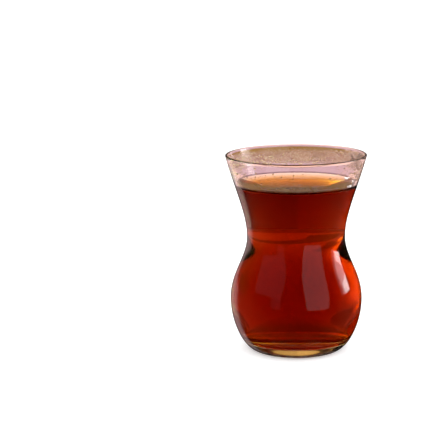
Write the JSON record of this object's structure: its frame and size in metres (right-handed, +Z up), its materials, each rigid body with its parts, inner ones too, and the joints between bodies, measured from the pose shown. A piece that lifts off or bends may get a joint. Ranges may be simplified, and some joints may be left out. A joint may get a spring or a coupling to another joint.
{
  "type": "turkish tea glass",
  "caption": "Clear waisted tea glass with a round belly, a flared rim and a thick foot, filled with black tea to a little below the rim.",
  "frame": {"origin": "middle of the foot, on the surface that the glass stands on", "axes": "+Z up along the axis of the glass; X and Y are alike, because glass and tea are turned about Z"},
  "size_m": [0.063, 0.063, 0.0885],
  "materials": {
    "glass": "clear pressed soda-lime glass, fire-polished, with a light mist of steam inside the dry part above the tea",
    "tea": "clear liquid, dark red where it is deep and orange where it is thin"
  },
  "bodies": {
    "root": {"glass": "glass", "tea": "tea"}
  },
  "joints": []
}
